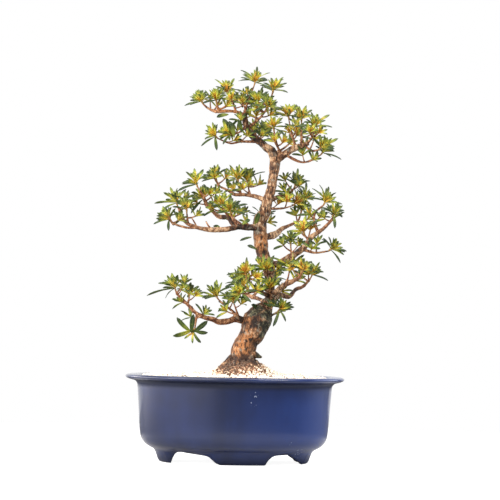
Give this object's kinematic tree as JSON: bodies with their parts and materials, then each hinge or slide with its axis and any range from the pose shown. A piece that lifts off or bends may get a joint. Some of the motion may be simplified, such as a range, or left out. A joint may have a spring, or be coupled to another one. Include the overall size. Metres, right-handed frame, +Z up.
{
  "type": "satsuki azalea bonsai",
  "caption": "Satsuki azalea bonsai with a swelling curved trunk and open tufts of narrow leaves, in an oval blue-glazed pot on cloud feet",
  "frame": {"origin": "on the surface that the pot stands on, under the middle of the pot's oval lip", "axes": "+X along the pot's long side, to the right of the front view; -Y to the front; +Z up, along the tree's height"},
  "size_m": [0.2632, 0.202, 0.4749],
  "materials": {
    "pot_glaze": "gloss",
    "soil": "matte",
    "bark": "matte",
    "leaf_green": "satin",
    "leaf_mixed": "satin",
    "leaf_gold": "satin"
  },
  "bodies": {
    "root": {"pot": "pot_glaze", "soil": "soil", "wood": "bark", "spray_crown_top": "leaf_mixed", "spray_crown_left_top": "leaf_gold", "spray_crown_left_mid": "leaf_mixed", "spray_crown_left_tip": "leaf_mixed", "spray_crown_back": "leaf_mixed", "spray_crown_right": "leaf_mixed", "spray_crown_middle": "leaf_green", "spray_crown_front": "leaf_green", "spray_leader_left": "leaf_green", "spray_shoulder_left": "leaf_mixed", "spray_shoulder_front": "leaf_gold", "spray_fork_back": "leaf_green", "spray_right_yellow": "leaf_gold", "spray_right_middle": "leaf_mixed", "spray_right_outer": "leaf_mixed", "spray_right_low": "leaf_green", "spray_right_hanging": "leaf_green", "spray_upper_left_end": "leaf_mixed", "spray_upper_left_front": "leaf_mixed", "spray_upper_left_back": "leaf_mixed", "spray_upper_left_twig": "leaf_mixed", "spray_left_end": "leaf_green", "spray_left_end_front": "leaf_mixed", "spray_left_low": "leaf_mixed", "spray_left_inner": "leaf_gold", "spray_left_inner_front": "leaf_mixed", "spray_left_mid_front": "leaf_green", "spray_back_right_top": "leaf_green", "spray_back_right_end": "leaf_green", "spray_back_right_gold": "leaf_gold", "spray_right_crest": "leaf_green", "spray_right_end": "leaf_green", "spray_right_gold": "leaf_gold", "spray_right_column": "leaf_green", "spray_right_green": "leaf_green", "spray_right_red_stem": "leaf_green", "spray_mid_right_yellow": "leaf_gold", "spray_mid_right_gold": "leaf_gold", "spray_low_back_end": "leaf_green", "spray_front_left_gold": "leaf_gold", "spray_front_left_low": "leaf_mixed", "spray_low_left_inner": "leaf_green", "spray_low_left_front": "leaf_green", "spray_low_left_end": "leaf_green", "spray_low_left_back": "leaf_green", "spray_low_left_hanging": "leaf_green", "spray_trunk_right": "leaf_green", "spray_trunk_front_high": "leaf_mixed", "spray_trunk_front_low": "leaf_mixed", "spray_back_upper": "leaf_green", "spray_back_upper_side": "leaf_green", "spray_back_low": "leaf_green", "spray_back_low_side": "leaf_green", "spray_back_crown": "leaf_mixed", "spray_back_crown_side": "leaf_mixed"}
  },
  "joints": []
}
